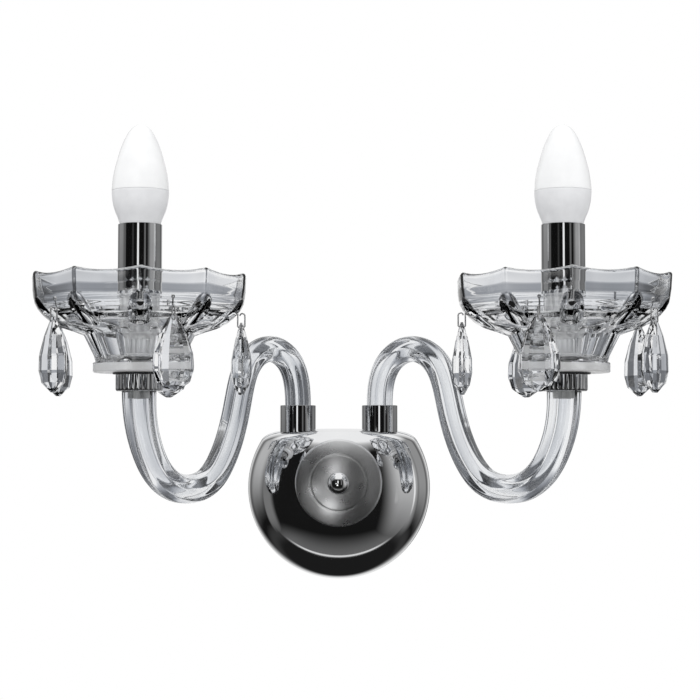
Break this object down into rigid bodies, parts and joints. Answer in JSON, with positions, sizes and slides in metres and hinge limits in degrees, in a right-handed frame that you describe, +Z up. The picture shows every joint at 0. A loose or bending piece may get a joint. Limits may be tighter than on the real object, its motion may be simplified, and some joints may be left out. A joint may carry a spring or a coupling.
{
  "type": "crystal wall sconce",
  "caption": "Wall light with a chrome dome cover, clear fluted glass arms, scalloped crystal bowls hung with cut drops, and candle bulbs on chrome sleeves.",
  "frame": {"origin": "on the wall plane, at the centre of the cover's round outline", "axes": "+Z up, -Y from the wall into the room, +X to the right as seen from the room"},
  "size_m": [0.4123, 0.16, 0.2983],
  "materials": {
    "chrome": "polished",
    "plain_steel": "zinc plated",
    "wire_metal": "bright wire",
    "crystal": "clear, cut and polished",
    "arm_glass": "clear, fluted",
    "diffuser_plastic": "opal",
    "housing_plastic": "satin white",
    "holder_plastic": "moulded",
    "block_plastic": "moulded",
    "cap_metal": "bright",
    "dark_washer": "smooth"
  },
  "bodies": {
    "fixture": {"wall_bracket": "plain_steel", "centre_stud": "plain_steel", "stud_nut": "plain_steel", "arm_carrier": "plain_steel", "terminal_block": "block_plastic", "wall_cover": "chrome", "cover_boss": "chrome", "ferrule_left": "chrome", "arm_nipple_left": "plain_steel", "arm_nut_left": "plain_steel", "glass_arm_left": "arm_glass", "cup_left": "chrome", "washer_left": "dark_washer", "bowl_left": "crystal", "candle_nipple_left": "plain_steel", "candle_cup_left": "chrome", "lampholder_left": "holder_plastic", "candle_sleeve_left": "chrome", "hook_left_1": "wire_metal", "hook_left_2": "wire_metal", "hook_left_3": "wire_metal", "hook_left_4": "wire_metal", "hook_left_5": "wire_metal", "ferrule_right": "chrome", "arm_nipple_right": "plain_steel", "arm_nut_right": "plain_steel", "glass_arm_right": "arm_glass", "cup_right": "chrome", "washer_right": "dark_washer", "bowl_right": "crystal", "candle_nipple_right": "plain_steel", "candle_cup_right": "chrome", "lampholder_right": "holder_plastic", "candle_sleeve_right": "chrome", "hook_right_1": "wire_metal", "hook_right_2": "wire_metal", "hook_right_3": "wire_metal", "hook_right_4": "wire_metal", "hook_right_5": "wire_metal"},
    "ball_nut": {"ball_nut": "chrome"},
    "bulb_left": {"bulb_diffuser_left": "diffuser_plastic", "bulb_housing_left": "housing_plastic", "bulb_cap_left": "cap_metal"},
    "drop_left_1": {"drop_left_1": "crystal"},
    "drop_left_2": {"drop_left_2": "crystal"},
    "drop_left_3": {"drop_left_3": "crystal"},
    "drop_left_4": {"drop_left_4": "crystal"},
    "drop_left_5": {"drop_left_5": "crystal"},
    "bulb_right": {"bulb_diffuser_right": "diffuser_plastic", "bulb_housing_right": "housing_plastic", "bulb_cap_right": "cap_metal"},
    "drop_right_1": {"drop_right_1": "crystal"},
    "drop_right_2": {"drop_right_2": "crystal"},
    "drop_right_3": {"drop_right_3": "crystal"},
    "drop_right_4": {"drop_right_4": "crystal"},
    "drop_right_5": {"drop_right_5": "crystal"}
  },
  "joints": [
    {"name": "ball_nut_unscrew", "type": "slide", "parent": "fixture", "child": "ball_nut", "axis": [0, -1, 0], "range_m": [0, 0.012]},
    {"name": "bulb_left_unscrew", "type": "slide", "parent": "fixture", "child": "bulb_left", "axis": [0, 0, 1], "range_m": [0, 0.036]},
    {"name": "drop_left_1_swing", "type": "hinge", "parent": "fixture", "child": "drop_left_1", "pos_m": [-0.1, -0.14918, 0.1048], "axis": [0.4226, -0.9063, 0], "range_deg": [-30, 30]},
    {"name": "drop_left_2_swing", "type": "hinge", "parent": "fixture", "child": "drop_left_2", "pos_m": [-0.06279, -0.08204, 0.1048], "axis": [0.9925, 0.1219, 0], "range_deg": [-30, 3]},
    {"name": "drop_left_3_swing", "type": "hinge", "parent": "fixture", "child": "drop_left_3", "pos_m": [-0.11514, -0.0259, 0.1048], "axis": [0.1908, 0.9816, 0], "range_deg": [-30, 30]},
    {"name": "drop_left_4_swing", "type": "hinge", "parent": "fixture", "child": "drop_left_4", "pos_m": [-0.18471, -0.05834, 0.1048], "axis": [-0.8746, 0.4848, 0], "range_deg": [-30, 30]},
    {"name": "drop_left_5_swing", "type": "hinge", "parent": "fixture", "child": "drop_left_5", "pos_m": [-0.17536, -0.13453, 0.1048], "axis": [-0.7314, -0.682, 0], "range_deg": [-30, 30]},
    {"name": "bulb_right_unscrew", "type": "slide", "parent": "fixture", "child": "bulb_right", "axis": [0, 0, 1], "range_m": [0, 0.036]},
    {"name": "drop_right_1_swing", "type": "hinge", "parent": "fixture", "child": "drop_right_1", "pos_m": [0.12237, -0.15136, 0.1048], "axis": [-0.342, -0.9397, 0], "range_deg": [-30, 30]},
    {"name": "drop_right_2_swing", "type": "hinge", "parent": "fixture", "child": "drop_right_2", "pos_m": [0.19616, -0.1302, 0.1048], "axis": [0.788, -0.6157, 0], "range_deg": [-30, 30]},
    {"name": "drop_right_3_swing", "type": "hinge", "parent": "fixture", "child": "drop_right_3", "pos_m": [0.19884, -0.05348, 0.1048], "axis": [0.829, 0.5592, 0], "range_deg": [-30, 30]},
    {"name": "drop_right_4_swing", "type": "hinge", "parent": "fixture", "child": "drop_right_4", "pos_m": [0.1267, -0.02723, 0.1048], "axis": [-0.2756, 0.9613, 0], "range_deg": [-30, 30]},
    {"name": "drop_right_5_swing", "type": "hinge", "parent": "fixture", "child": "drop_right_5", "pos_m": [0.07944, -0.08772, 0.1048], "axis": [-0.9994, 0.0349, 0], "range_deg": [-3, 30]}
  ]
}
